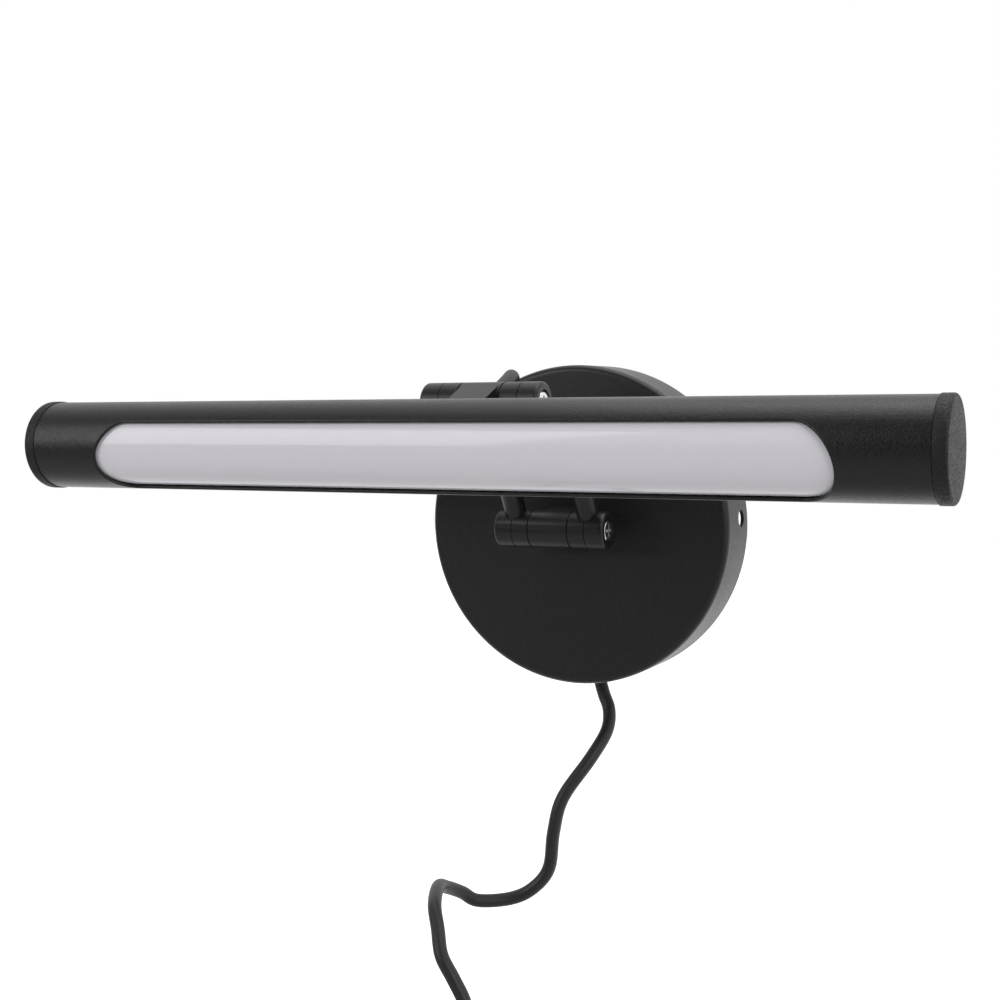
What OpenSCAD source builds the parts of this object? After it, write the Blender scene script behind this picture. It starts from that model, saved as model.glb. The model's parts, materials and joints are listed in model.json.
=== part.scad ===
// Wall-mounted picture light: a tubular LED head on a two-rod swing arm, with a plug-in cord.
// The wall is the plane y = 0, the light faces -Y, and +Z is up. Lengths are millimetres.

/* [Wall cup] */
// Outside diameter of the wall cup
cup_d = 120; // [110:1:140]
// How far the cup's front stands off the wall
cup_depth = 24; // [23:0.5:34]
// Thickness of the cup's sheet steel
cup_sheet = 1.2; // [0.8:0.1:1.6]
// Outside radius of the cup's front edge
cup_edge_r = 2.5; // [2:0.1:4]
// How far the cup is turned on its stud, which lifts the right screw hole
cup_turn = 2.9; // [0:0.1:8]
// Diameter of the screw holes in the cup's rim
side_hole_d = 6.5; // [4:0.1:8]
// Distance from the wall to the rim's screw holes
side_hole_out = 7.9; // [5:0.1:12]
// Distance from the wall to the hole for the mains cord
cord_hole_out = 6; // [5.2:0.1:8]
// Diameter of the hole for the mains cord
cord_hole_d = 7; // [6.6:0.1:8]
// Height of the lamp cable's hole above the hinge stud
cable_hole_up = 26; // [22:0.5:32]

/* [Arm] */
// Distance from the cup's front to the wall hinge's axis
wall_neck_l = 18; // [14:0.5:26]
// Bend radius of the arm rods, measured on their centre line
arm_r = 72.1; // [60:0.1:90]
// Angle that the arm rods are bent through
arm_sweep = 60; // [40:1:75]
// How far the rods lean forward where they leave the wall hinge
arm_lean = 20.5; // [10:0.5:30]
// Diameter of the arm rods
rod_d = 8; // [6:0.1:9]
// Distance between the centre lines of the two rods
rod_spacing = 28.6; // [27:0.1:32]

/* [Hinges] */
// Outside diameter of the hinge barrels
barrel_d = 14; // [12.5:0.1:16]
// Full width of a hinge over its clamp halves
hinge_w = 42.8; // [41:0.1:46]
// Width of the middle knuckle
knuckle_w = 15; // [14:0.1:16]
// Width of the square neck behind each middle knuckle
neck_w = 13.4; // [12:0.1:14]
// Rounding of the barrel's outer ends
barrel_edge_r = 1.2; // [0.5:0.1:1.8]
// Thickness of the friction washers
washer_t = 0.4; // [0.3:0.05:0.6]
// Gap between the two halves of a rod clamp
clamp_gap = 0.2; // [0.1:0.05:0.4]
// Side play between parts that turn on each other
side_play = 0.05; // [0.02:0.01:0.1]
// Diameter of the pivot screws
pivot_d = 4; // [3:0.1:4.4]
// Radial play of the clamps on the pivot screws
pivot_play = 0.06; // [0.02:0.01:0.1]
// Depth that a pivot screw reaches into the middle knuckle
pivot_grip = 4; // [3:0.1:4.2]
// Diameter of the pivot screws' heads
pivot_head_d = 8; // [6.5:0.1:8.6]
// Height of the pivot screws' heads
pivot_head_h = 2; // [1.6:0.1:3]
// How deep the screw heads sit below the barrel's ends
pivot_head_sunk = 0.2; // [0.1:0.1:1]
// Diameter of the threaded stud that holds the wall knuckle
stud_d = 8; // [6:0.5:10]

/* [Lamp head] */
// Outside diameter of the lamp tube
tube_d = 30; // [28:0.5:38]
// Wall thickness of the lamp tube
tube_wall = 1.2; // [1:0.1:1.8]
// Length of the lamp tube without its end caps
tube_l = 304.4; // [296:1:420]
// Angle of the lamp head below level
head_pitch = 23.5; // [0:0.5:45]
// Distance from the head hinge's axis to the tube's axis
head_reach = 33.7; // [30:0.1:42]
// Thickness of an end cap outside the tube
cap_t = 4.4; // [3:0.1:6]
// How far an end cap stands proud of the tube all round
cap_lip = 0.3; // [0.1:0.1:1]
// Rounding of an end cap's outer edge
cap_edge_r = 1; // [0.5:0.1:1.5]
// Length that an end cap reaches into the tube
cap_spigot_l = 8; // [5:0.5:10]
// Length of the window over its round ends
window_l = 252.6; // [220:0.2:270]
// Width of the window
window_w = 23.5; // [18:0.1:24]
// Thickness of the diffuser
diffuser_t = 1.2; // [0.8:0.1:1.6]
// Gap between the diffuser and the tube's bore
diffuser_gap = 0.3; // [0.1:0.05:0.4]
// Number of LEDs on the strip
led_count = 36; // [12:1:42]
// Distance from one LED to the next
led_pitch = 7; // [5:0.1:7.1]

/* [Cords] */
// Diameter of the lamp cable between cup and head
cable_d = 5; // [4:0.1:5.2]
// Diameter of the mains cord
cord_d = 5; // [4:0.1:5.4]
// Distance across the coil of spare cord at the middle of its turns
coil_across = 60; // [52:1:64]
// Thickness of the coil's bundle of turns
coil_bundle = 20; // [18:0.5:22]
// How far the middle of the coil hangs below the cup's middle
coil_drop = 214; // [210:1:280]

/* [Hidden] */

// Fineness of round shapes
round_fine = 96;
round_small = 32;
bore_fn = 48;
// Small overlap that lets a cut pass clean through a face
cut = 1;

black = [0.05, 0.05, 0.055];
dark_grey = [0.16, 0.16, 0.17];
milky = [0.86, 0.84, 0.88];

// Places of the two hinges and of the lamp tube, in the plane x = 0
wall_axis_y = -(cup_depth + wall_neck_l);
arm_centre_y = wall_axis_y - arm_r * cos(arm_lean);
arm_centre_z = -arm_r * sin(arm_lean);
head_axis_y = arm_centre_y + arm_r * cos(arm_lean + arm_sweep);
head_axis_z = arm_centre_z + arm_r * sin(arm_lean + arm_sweep);
tube_axis_y = head_axis_y - head_reach * cos(head_pitch);
tube_axis_z = head_axis_z - head_reach * sin(head_pitch);

// ---------- frames and shared shapes ----------

// Stands what is drawn along +Z along +X instead, from x = start
module along_x(start = 0) {
    translate([start, 0, 0]) rotate([0, 90, 0]) children();
}

// Stands what is drawn along +Z along -Y instead, so it points away from the wall
module facing_out() {
    rotate([90, 0, 0]) children();
}

module at_wall_hinge() {
    translate([0, wall_axis_y, 0]) children();
}

module at_head_hinge() {
    translate([0, head_axis_y, head_axis_z]) children();
}

// The lamp head's own frame: x along the tube, -y out of the window, +y towards the hinge
module in_head() {
    translate([0, tube_axis_y, tube_axis_z]) rotate([head_pitch, 0, 0]) children();
}

module on_side(side) {
    mirror([side < 0 ? 1 : 0, 0, 0]) children();
}

module on_both_sides() {
    for (side = [-1, 1]) on_side(side) children();
}

// A quarter arc's points, from angle a0 to a1, about [cx, cy]
function arc_points(cx, cy, r, a0, a1, steps = 8) =
    [for (i = [0:steps]) let (a = a0 + (a1 - a0) * i / steps) [cx + r * cos(a), cy + r * sin(a)]];

// A box centred on x and z, from y = y0 to y = y1
module slab(width, y0, y1, height) {
    translate([-width / 2, y0, -height / 2]) cube([width, y1 - y0, height]);
}

// A round wire through the points, with a ball at each bend
module wire_run(points, d) {
    for (i = [0:len(points) - 2]) {
        step = points[i + 1] - points[i];
        length = norm(step);
        translate(points[i])
            rotate([0, acos(step.z / length), atan2(step.y, step.x)])
                cylinder(d = d, h = length, $fn = round_small);
    }
    for (i = [1:len(points) - 2])
        translate(points[i]) sphere(d = d, $fn = round_small);
}

// ---------- cords ----------

// Points of a smooth curve through a route, with steps points to each stretch
function route_point(route, i) = route[max(0, min(len(route) - 1, i))];
function curve_at(p0, p1, p2, p3, t) =
    0.5 * (2 * p1 + (p2 - p0) * t + (2 * p0 - 5 * p1 + 4 * p2 - p3) * t * t
        + (3 * p1 - p0 - 3 * p2 + p3) * t * t * t);
function smooth_route(route, steps) = concat(
    [for (i = [0:len(route) - 2], k = [0:steps - 1])
        curve_at(route_point(route, i - 1), route[i], route[i + 1], route_point(route, i + 2), k / steps)],
    [route[len(route) - 1]]);

function unit(v) = v / norm(v);
function heading(path, i) =
    unit(path[min(i + 1, len(path) - 1)] - path[max(i - 1, 0)]);

// One ring of a round tube's skin, square to the path; across is never along the path
function skin_ring(path, i, d, sides, across) =
    let (
        along = heading(path, i),
        side_way = unit(cross(along, across)),
        other_way = cross(along, side_way)
    )
    [for (k = [0:sides - 1])
        path[i] + d / 2 * (cos(360 * k / sides) * side_way + sin(360 * k / sides) * other_way)];

// A round cord along the path's points from number first to number last
module cord_stretch(path, d, first, last, across, sides = 10) {
    rings = last - first + 1;
    points = [for (i = [first:last]) each skin_ring(path, i, d, sides, across)];
    walls = [for (i = [0:rings - 2], k = [0:sides - 1])
        let (next = (k + 1) % sides)
        [i * sides + k, i * sides + next, (i + 1) * sides + next, (i + 1) * sides + k]];
    first_end = [for (k = [0:sides - 1]) sides - 1 - k];
    last_end = [for (k = [0:sides - 1]) (rings - 1) * sides + k];
    polyhedron(points = points, faces = concat([first_end], walls, [last_end]), convexity = 10);
}

// ---------- wall cup and what it holds ----------

cup_r = cup_d / 2;
front_inside_y = -(cup_depth - cup_sheet);
hole_play = 0.1;

module turned_with_cup() {
    rotate([0, -cup_turn, 0]) children();
}

// Half outline of the drawn cup, as radius and distance from the wall
module cup_outline() {
    edge_at = cup_depth - cup_edge_r;
    edge_x = cup_r - cup_edge_r;
    polygon(concat(
        [[cup_r, 0]],
        arc_points(edge_x, edge_at, cup_edge_r, 0, 90),
        [[0, cup_depth], [0, cup_depth - cup_sheet]],
        arc_points(edge_x, edge_at, cup_edge_r - cup_sheet, 90, 0),
        [[cup_r - cup_sheet, 0]]
    ));
}

module cup() {
    color(black)
    difference() {
        facing_out() rotate_extrude($fn = round_fine) cup_outline();
        turned_with_cup() {
            on_both_sides()
                translate([0, -side_hole_out, 0])
                    along_x(cup_r - cup_sheet - cut)
                        cylinder(d = side_hole_d, h = cup_sheet + 2 * cut, $fn = bore_fn);
            translate([0, -cord_hole_out, -cup_r - cut])
                cylinder(d = cord_hole_d, h = cup_sheet + 2 * cut, $fn = bore_fn);
        }
        translate([0, front_inside_y + cut, 0]) facing_out()
            cylinder(d = stud_d + 2 * hole_play, h = cup_sheet + 2 * cut, $fn = bore_fn);
        translate([0, front_inside_y + cut, cable_hole_up]) facing_out()
            cylinder(d = grommet_waist_d + 2 * hole_play, h = cup_sheet + 2 * cut, $fn = bore_fn);
    }
}

stud_washer_t = 1.6;
stud_nut_t = 5;
stud_past_nut = 1.2;
stud_nut_across = 1.6 * stud_d;
stud_l = cup_sheet + stud_washer_t + stud_nut_t + stud_past_nut;

// A hinge's middle barrel with its blind threads for the two pivot screws, on the x axis
module knuckle_barrel() {
    along_x(-knuckle_w / 2) cylinder(d = barrel_d, h = knuckle_w, $fn = round_fine);
}

module pivot_threads() {
    on_both_sides()
        along_x(knuckle_w / 2 - pivot_grip)
            cylinder(d = pivot_d, h = pivot_grip + cut, $fn = bore_fn);
}

module wall_knuckle() {
    color(dark_grey)
    at_wall_hinge()
    difference() {
        union() {
            knuckle_barrel();
            slab(neck_w, 0, wall_neck_l, barrel_d);
            translate([0, wall_neck_l, 0]) rotate([-90, 0, 0])
                cylinder(d = stud_d, h = stud_l, $fn = bore_fn);
        }
        pivot_threads();
    }
}

module stud_washer() {
    color("silver")
    translate([0, front_inside_y, 0]) rotate([-90, 0, 0])
    difference() {
        cylinder(d = 2 * stud_d, h = stud_washer_t, $fn = round_fine);
        translate([0, 0, -cut])
            cylinder(d = stud_d + 2 * hole_play, h = stud_washer_t + 2 * cut, $fn = bore_fn);
    }
}

module stud_nut() {
    color("silver")
    translate([0, front_inside_y + stud_washer_t, 0]) rotate([-90, 0, 0])
    difference() {
        cylinder(d = stud_nut_across / cos(30), h = stud_nut_t, $fn = 6);
        translate([0, 0, -cut]) cylinder(d = stud_d, h = stud_nut_t + 2 * cut, $fn = bore_fn);
    }
}

grommet_waist_d = cable_d + 2;
grommet_flange_d = cable_d + 5;
grommet_flange_t = 1.2;

module cable_grommet() {
    bore_r = cable_d / 2;
    waist_r = grommet_waist_d / 2;
    flange_r = grommet_flange_d / 2;
    inner_end = cup_depth - cup_sheet - grommet_flange_t;
    outer_end = cup_depth + grommet_flange_t;
    bevel = grommet_flange_t / 2;
    color(black)
    translate([0, 0, cable_hole_up]) facing_out() rotate_extrude($fn = round_fine)
        polygon([
            [bore_r, inner_end], [flange_r, inner_end],
            [flange_r, cup_depth - cup_sheet], [waist_r, cup_depth - cup_sheet],
            [waist_r, cup_depth], [flange_r, cup_depth],
            [flange_r - bevel, outer_end], [bore_r, outer_end]
        ]);
}

relief_l = 20;
relief_flange_t = 1.5;
// The flange stays off the rim's curved inside by this much
relief_seat_gap = 0.25;

// Tapered bush that grips the mains cord inside the cup, flush with the rim outside
module cord_strain_relief() {
    bore_r = cord_d / 2;
    waist_r = cord_hole_d / 2 - hole_play;
    flange_r = min(cord_hole_d / 2 + 1.2, cord_hole_out - 0.3);
    seat = cup_r - cup_sheet - relief_seat_gap;
    tip = cup_r - relief_l;
    color(black)
    turned_with_cup() translate([0, -cord_hole_out, 0]) mirror([0, 0, 1])
    rotate_extrude($fn = round_fine)
        polygon([
            [bore_r, tip], [bore_r + 0.8, tip],
            [waist_r, seat - relief_flange_t], [flange_r, seat - relief_flange_t],
            [flange_r, seat], [waist_r, seat],
            [waist_r, cup_r], [bore_r, cup_r]
        ]);
}

driver_w = 58;
driver_wall = 1.5;
driver_pad_t = 1;
driver_lid_t = 1.2;
driver_lip = 2;
driver_top_z = -12;
// The driver fills the room between the hinge stud's nut and the tip of the mains cord's bush
driver_relief_gap = 2;
driver_h = cup_r - relief_l - driver_relief_gap + driver_top_z;
driver_front_y = front_inside_y + driver_pad_t;
driver_back_y = -3.6;
driver_z = driver_top_z - driver_h / 2;
board_t = 1.6;
post_l = 3;
post_d = 4;
board_play = 0.5;
board_back_y = driver_front_y + driver_wall + post_l + board_t;

module at_driver() {
    translate([0, 0, driver_z]) children();
}

module driver_pad() {
    color("white")
    at_driver() slab(driver_w - 8, front_inside_y, driver_front_y, driver_h - 6);
}

module driver_case() {
    floor_y = driver_front_y + driver_wall;
    color("gainsboro")
    at_driver() {
        difference() {
            slab(driver_w, driver_front_y, driver_back_y, driver_h);
            slab(driver_w - 2 * driver_wall, floor_y, driver_back_y + cut, driver_h - 2 * driver_wall);
        }
        for (x = [-1, 1], z = [-1, 1])
            translate([x * (driver_w / 2 - 2 * post_d / 2 - driver_wall), floor_y - driver_wall / 2,
                       z * (driver_h / 2 - post_d - driver_wall)])
                rotate([-90, 0, 0]) cylinder(d = post_d, h = post_l + driver_wall / 2, $fn = round_small);
    }
}

module driver_lid() {
    inside = 2 * (driver_wall + hole_play);
    color("gainsboro")
    at_driver() {
        slab(driver_w, driver_back_y, driver_back_y + driver_lid_t, driver_h);
        difference() {
            slab(driver_w - inside, driver_back_y - driver_lip, driver_back_y + driver_lid_t / 2,
                 driver_h - inside);
            slab(driver_w - inside - 2, driver_back_y - driver_lip - cut, driver_back_y,
                 driver_h - inside - 2);
        }
    }
}

// The driver's circuit board with its transformer, choke and two capacitors
module driver_board() {
    inside = 2 * (driver_wall + board_play);
    part_sunk = board_t / 4;
    part_seat = board_back_y - part_sunk;
    transformer_w = driver_h / 2;
    choke_w = driver_h / 3;
    capacitor_d = driver_h / 3.2;
    part_l = 0.7 * (driver_back_y - board_back_y);
    color("darkgreen")
    at_driver() slab(driver_w - inside, board_back_y - board_t, board_back_y, driver_h - inside);
    color("goldenrod")
    at_driver() translate([transformer_w / 6, 0, 0])
        slab(transformer_w, part_seat, board_back_y + part_l, transformer_w);
    color("dimgray")
    at_driver() translate([-driver_w / 3, 0, -choke_w / 3])
        slab(choke_w, part_seat, board_back_y + part_l / 1.4, choke_w);
    color("midnightblue")
    at_driver() for (x = [-driver_w / 6, driver_w / 3.2])
        translate([x, part_seat, 0]) rotate([-90, 0, 0])
            cylinder(d = capacitor_d, h = part_sunk + part_l, $fn = round_small);
}

// ---------- hinges and arm ----------

clamp_start = knuckle_w / 2 + washer_t + 2 * side_play;
clamp_split = rod_spacing / 2;
clamp_end = hinge_w / 2;
pivot_seat = clamp_end - pivot_head_sunk - pivot_head_h;
pivot_bore_d = pivot_d + 2 * pivot_play;
head_well_d = pivot_head_d + 0.6;
// Distance from a hinge's axis to the end of a rod, just clear of the pivot screw and its head
rod_meets_head = clamp_split + rod_d / 2 > pivot_seat - side_play;
rod_end_r = rod_meets_head ? head_well_d / 2 + 0.2 : pivot_bore_d / 2 + 1.2;

module at_hinge(place) {
    if (place == "wall") at_wall_hinge() children();
    else at_head_hinge() children();
}

// One bent rod of the arm, from just outside one hinge's axis to just outside the other's
module rod_shape(side) {
    end_angle = asin(rod_end_r / arm_r);
    translate([side * clamp_split, arm_centre_y, arm_centre_z])
        rotate([90, 0, 90]) rotate([0, 0, arm_lean + end_angle])
            rotate_extrude(angle = arm_sweep - 2 * end_angle, $fn = round_fine)
                translate([arm_r, 0]) circle(d = rod_d, $fn = bore_fn);
}

module clamp_inner(place, side) {
    color(dark_grey)
    difference() {
        at_hinge(place) on_side(side) along_x(clamp_start)
            difference() {
                cylinder(d = barrel_d, h = clamp_split - clamp_gap / 2 - clamp_start, $fn = round_fine);
                translate([0, 0, -cut])
                    cylinder(d = pivot_bore_d, h = clamp_split - clamp_start + cut, $fn = bore_fn);
            }
        rod_shape(side);
    }
}

module clamp_outer(place, side) {
    start = clamp_split + clamp_gap / 2;
    barrel_r = barrel_d / 2;
    color(dark_grey)
    difference() {
        at_hinge(place) on_side(side) along_x()
            rotate_extrude($fn = round_fine)
                polygon(concat(
                    [[pivot_bore_d / 2, start], [barrel_r, start]],
                    arc_points(barrel_r - barrel_edge_r, clamp_end - barrel_edge_r, barrel_edge_r, 0, 90),
                    [[head_well_d / 2, clamp_end], [head_well_d / 2, pivot_seat - side_play],
                     [pivot_bore_d / 2, pivot_seat - side_play]]
                ));
        rod_shape(side);
    }
}

recess_l = 4.6;
recess_w = 1;
recess_depth = 1.3;
head_edge = 0.6;

// The pair of short screws that a hinge turns on, each with a cross recess
module pivot_screws(place) {
    head_end = pivot_seat + pivot_head_h;
    color("gainsboro")
    at_hinge(place) on_both_sides()
    difference() {
        along_x() rotate_extrude($fn = round_fine)
            polygon([
                [0, knuckle_w / 2 - pivot_grip], [pivot_d / 2, knuckle_w / 2 - pivot_grip],
                [pivot_d / 2, pivot_seat], [pivot_head_d / 2, pivot_seat],
                [pivot_head_d / 2, head_end - head_edge], [pivot_head_d / 2 - head_edge, head_end],
                [0, head_end]
            ]);
        translate([head_end - recess_depth, 0, 0]) {
            translate([0, -recess_l / 2, -recess_w / 2]) cube([recess_depth + cut, recess_l, recess_w]);
            translate([0, -recess_w / 2, -recess_l / 2]) cube([recess_depth + cut, recess_w, recess_l]);
        }
    }
}

module friction_washers(place) {
    color("black")
    at_hinge(place) on_both_sides() along_x(knuckle_w / 2 + side_play)
    difference() {
        cylinder(d = barrel_d - 0.8, h = washer_t, $fn = round_fine);
        translate([0, 0, -cut]) cylinder(d = pivot_bore_d, h = washer_t + 2 * cut, $fn = bore_fn);
    }
}

module arm_rod(side) {
    color(black) rod_shape(side);
}

module wall_pivot_screws() { pivot_screws("wall"); }
module wall_friction_washers() { friction_washers("wall"); }
module wall_clamp_inner_left() { clamp_inner("wall", -1); }
module wall_clamp_outer_left() { clamp_outer("wall", -1); }
module wall_clamp_inner_right() { clamp_inner("wall", 1); }
module wall_clamp_outer_right() { clamp_outer("wall", 1); }
module arm_rod_left() { arm_rod(-1); }
module arm_rod_right() { arm_rod(1); }
module head_clamp_inner_left() { clamp_inner("head", -1); }
module head_clamp_outer_left() { clamp_outer("head", -1); }
module head_clamp_inner_right() { clamp_inner("head", 1); }
module head_clamp_outer_right() { clamp_outer("head", 1); }
module head_friction_washers() { friction_washers("head"); }
module head_pivot_screws() { pivot_screws("head"); }

// ---------- lamp head ----------

tube_r = tube_d / 2;
bore_r = tube_r - tube_wall;
plate_t = 1.6;
plate_face_y = bore_r - plate_t;
plate_w = 16;
neck_screw_d = 2.5;
neck_screw_l = 12;
neck_screw_head_d = 4.4;
neck_screw_head_h = 1.6;
// The two neck screws sit on a diagonal, each this far from the neck's middle both ways
neck_screw_at = 4.4;
neck_bore_d = cable_d + 0.6;

module at_neck_screws(y) {
    for (s = [-1, 1])
        translate([s * neck_screw_at, y, -s * neck_screw_at]) rotate([-90, 0, 0]) children();
}

module head_knuckle() {
    color(dark_grey)
    in_head()
    difference() {
        union() {
            translate([0, head_reach, 0]) knuckle_barrel();
            slab(neck_w, tube_r / 2, head_reach, barrel_d);
        }
        along_x(-knuckle_w) cylinder(d = tube_d, h = 2 * knuckle_w, $fn = round_fine);
        translate([0, head_reach, 0]) pivot_threads();
        rotate([-90, 0, 0]) cylinder(d = neck_bore_d, h = head_reach + barrel_d, $fn = bore_fn);
        at_neck_screws(plate_face_y) cylinder(d = neck_screw_d, h = neck_screw_l + cut, $fn = bore_fn);
    }
}

module neck_screws() {
    color("silver")
    in_head() {
        at_neck_screws(plate_face_y) cylinder(d = neck_screw_d, h = neck_screw_l, $fn = bore_fn);
        at_neck_screws(plate_face_y - neck_screw_head_h)
            cylinder(d = neck_screw_head_d, h = neck_screw_head_h, $fn = bore_fn);
    }
}

// Holes through the tube's back and the backing plate for the cable and the neck screws
module back_holes() {
    rotate([-90, 0, 0]) cylinder(d = neck_bore_d, h = tube_d, $fn = bore_fn);
    at_neck_screws(0) cylinder(d = neck_screw_d + 2 * hole_play, h = tube_d, $fn = bore_fn);
}

module backing_plate() {
    color("silver")
    in_head()
    difference() {
        intersection() {
            along_x(-plate_w) cylinder(r = bore_r, h = 2 * plate_w, $fn = round_fine);
            slab(plate_w, plate_face_y, tube_r, barrel_d);
        }
        back_holes();
    }
}

// A slot's outline with full round ends
module round_ended(length, width) {
    square([length - width, width], center = true);
    for (s = [-1, 1]) translate([s * (length - width) / 2, 0]) circle(d = width, $fn = round_fine);
}

module lamp_tube() {
    color(black)
    in_head()
    difference() {
        along_x(-tube_l / 2) cylinder(r = tube_r, h = tube_l, $fn = round_fine);
        along_x(-tube_l / 2 - cut) cylinder(r = bore_r, h = tube_l + 2 * cut, $fn = round_fine);
        facing_out() linear_extrude(tube_r + cut) round_ended(window_l, window_w);
        back_holes();
    }
}

cap_r = tube_r + cap_lip;
spigot_play = 0.1;
spigot_wall = 2;

module end_cap(side) {
    spigot_r = bore_r - spigot_play;
    color(black)
    in_head() on_side(side) along_x(tube_l / 2) rotate_extrude($fn = round_fine)
        polygon(concat(
            [[0, 0], [spigot_r - spigot_wall, 0], [spigot_r - spigot_wall, -cap_spigot_l],
             [spigot_r, -cap_spigot_l], [spigot_r, 0], [cap_r, 0]],
            arc_points(cap_r - cap_edge_r, cap_t - cap_edge_r, cap_edge_r, 0, 90),
            [[0, cap_t]]
        ));
}

module end_cap_left() { end_cap(-1); }
module end_cap_right() { end_cap(1); }

carrier_t = 1.6;
carrier_leg_t = 1.2;
carrier_leg_at = 8.5;
carrier_play = 0.1;
insert_l = tube_l - 2 * cap_spigot_l - 0.4;
led_board_t = 1;
led_board_w = 12;
led_w = 2.8;
led_h = 0.8;
led_board_end = led_w + 0.2;
led_board_l = led_count * led_pitch + 2 * led_board_end;
board_face_y = -carrier_t - led_board_t;
board_screw_d = 2;
board_screw_spread = led_board_l * 0.42;
board_screw_z = 4;
wire_d = 1.2;
wire_gap = 2.4;
wire_hole_d = 5;
wire_hole_x = led_board_l / 2 + wire_hole_d;

module diffuser() {
    outer_r = bore_r - diffuser_gap;
    color(milky)
    in_head()
    intersection() {
        difference() {
            along_x(-insert_l / 2) cylinder(r = outer_r, h = insert_l, $fn = round_fine);
            along_x(-insert_l / 2 - cut)
                cylinder(r = outer_r - diffuser_t, h = insert_l + 2 * cut, $fn = round_fine);
        }
        slab(insert_l, -tube_r, -carrier_t, tube_d);
    }
}

module at_board_screws(y) {
    for (i = [-1, 0, 1])
        translate([i * board_screw_spread + led_pitch / 2, y, board_screw_z]) facing_out() children();
}

module led_carrier() {
    half_w = sqrt(pow(bore_r - carrier_play, 2) - pow(carrier_t, 2));
    leg_end = sqrt(pow(bore_r - carrier_play, 2) - pow(carrier_leg_at + carrier_leg_t / 2, 2));
    color("lightgray")
    in_head()
    difference() {
        union() {
            slab(insert_l, -carrier_t, 0, 2 * half_w);
            for (s = [-1, 1])
                translate([0, 0, s * carrier_leg_at])
                    slab(insert_l, -carrier_t / 2, leg_end, carrier_leg_t);
        }
        translate([wire_hole_x, cut, 0]) facing_out()
            cylinder(d = wire_hole_d, h = carrier_t + 2 * cut, $fn = bore_fn);
        at_board_screws(cut) cylinder(d = board_screw_d, h = carrier_t + 2 * cut, $fn = bore_fn);
    }
}

module led_board() {
    color("white")
    in_head()
    difference() {
        slab(led_board_l, board_face_y, -carrier_t, led_board_w);
        at_board_screws(cut)
            cylinder(d = board_screw_d + 2 * hole_play, h = tube_r, $fn = bore_fn);
    }
}

module led_chips() {
    color("khaki")
    in_head()
        for (i = [0:led_count - 1])
            translate([(i - (led_count - 1) / 2) * led_pitch, 0, 0])
                slab(led_w, board_face_y - led_h, board_face_y, led_w);
}

module board_screws() {
    color("silver")
    in_head() {
        at_board_screws(0) cylinder(d = board_screw_d, h = -board_face_y, $fn = bore_fn);
        at_board_screws(board_face_y) cylinder(d = 1.9 * board_screw_d, h = 1.2, $fn = bore_fn);
    }
}

cable_end_y = plate_face_y - neck_screw_head_h - 1;

module led_wires() {
    back_y = wire_d / 2 + 0.1;
    face_y = board_face_y - wire_d / 2;
    color("firebrick")
    in_head()
        for (s = [-1, 1], z = s * wire_gap / 2)
            wire_run([
                [0, cable_end_y, z], [0, back_y, z], [wire_hole_x, back_y, z],
                [wire_hole_x, face_y, z], [led_board_l / 2 - 1, face_y, z]
            ], wire_d);
}

// ---------- lamp cable, from the driver to the head ----------

// A point on the neck's middle line, y_in_head from the tube's axis
function on_neck(y_in_head) = [
    0,
    tube_axis_y + y_in_head * cos(head_pitch),
    tube_axis_z + y_in_head * sin(head_pitch)
];

// A point out in front of the cup's cable hole
function off_cup(x, out, up) = [x, -(cup_depth + out), cable_hole_up + up];

// A point of the free arch, as a share of the way from the cup's hole to the head hinge
function on_arch(share, x, up) = [
    x,
    (1 - share) * -cup_depth + share * head_axis_y,
    (1 - share) * cable_hole_up + share * head_axis_z + up
];

lamp_cable_route = [
    on_neck(cable_end_y),
    for (share = [0.54, 0.81, 1.06, 1.33]) on_neck(share * head_reach),
    on_arch(0.76, -0.5, 12.2), on_arch(0.65, -2.5, 16.1), on_arch(0.56, -5, 14.4), on_arch(0.5, -6.5, 7.5),
    on_arch(0.45, -6, 0.4), on_arch(0.34, -4, -3.5), off_cup(-1.5, 15, 0.5),
    off_cup(0, 7, 0), off_cup(0, 1, 0), off_cup(0, -4, 0), off_cup(-4, -9.5, -4),
    [-11, -12, 12], [-16, -12, 0], [-17, -12, driver_top_z],
];
// Place in the route where the arch hangs free, half way between the two hinges
cable_middle = 8;
cable_steps = 3;

module lamp_cable_part(first, last) {
    color(black)
        cord_stretch(smooth_route(lamp_cable_route, cable_steps), cable_d,
                     first * cable_steps, last * cable_steps, [1, 0, 0]);
}

module lamp_cable_head_end() { lamp_cable_part(0, cable_middle); }
module lamp_cable_wall_end() { lamp_cable_part(cable_middle, len(lamp_cable_route) - 1); }

// ---------- mains cord, its coil and plug ----------

// A point on the line through the rim's cord hole, at a radius of the cup
function in_cord_hole(r) = [r * sin(cup_turn), -cord_hole_out, -r * cos(cup_turn)];

// The cord leaves the cup's rim, swings out and down, and reaches the coil's right side
cord_route = [
    in_cord_hole(cup_r - relief_l - driver_relief_gap), in_cord_hole(cup_r - relief_l / 2), in_cord_hole(cup_r),
    [5, -7, -66], [8, -9, -72], [9, -14, -79],
    [6, -23, -88], [-2, -31, -102], [-5, -33, -115], [-7, -33, -129], [-13, -35, -137],
    [-21, -38, -141], [-31, -45, -141], [-35, -50, -137], [-37, -58, -133], [-36, -67, -130],
    [-29, -83, -131], [-24, -90, -137], [-20, -95, -144], [-15, -96, -151], [-11, -96, -158],
    [-8, -97, -166], [-6, -98, -176], [-4, -99, 28 - coil_drop], [-4, -100, 18 - coil_drop],
];
coil_r = coil_across / 2;
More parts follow.
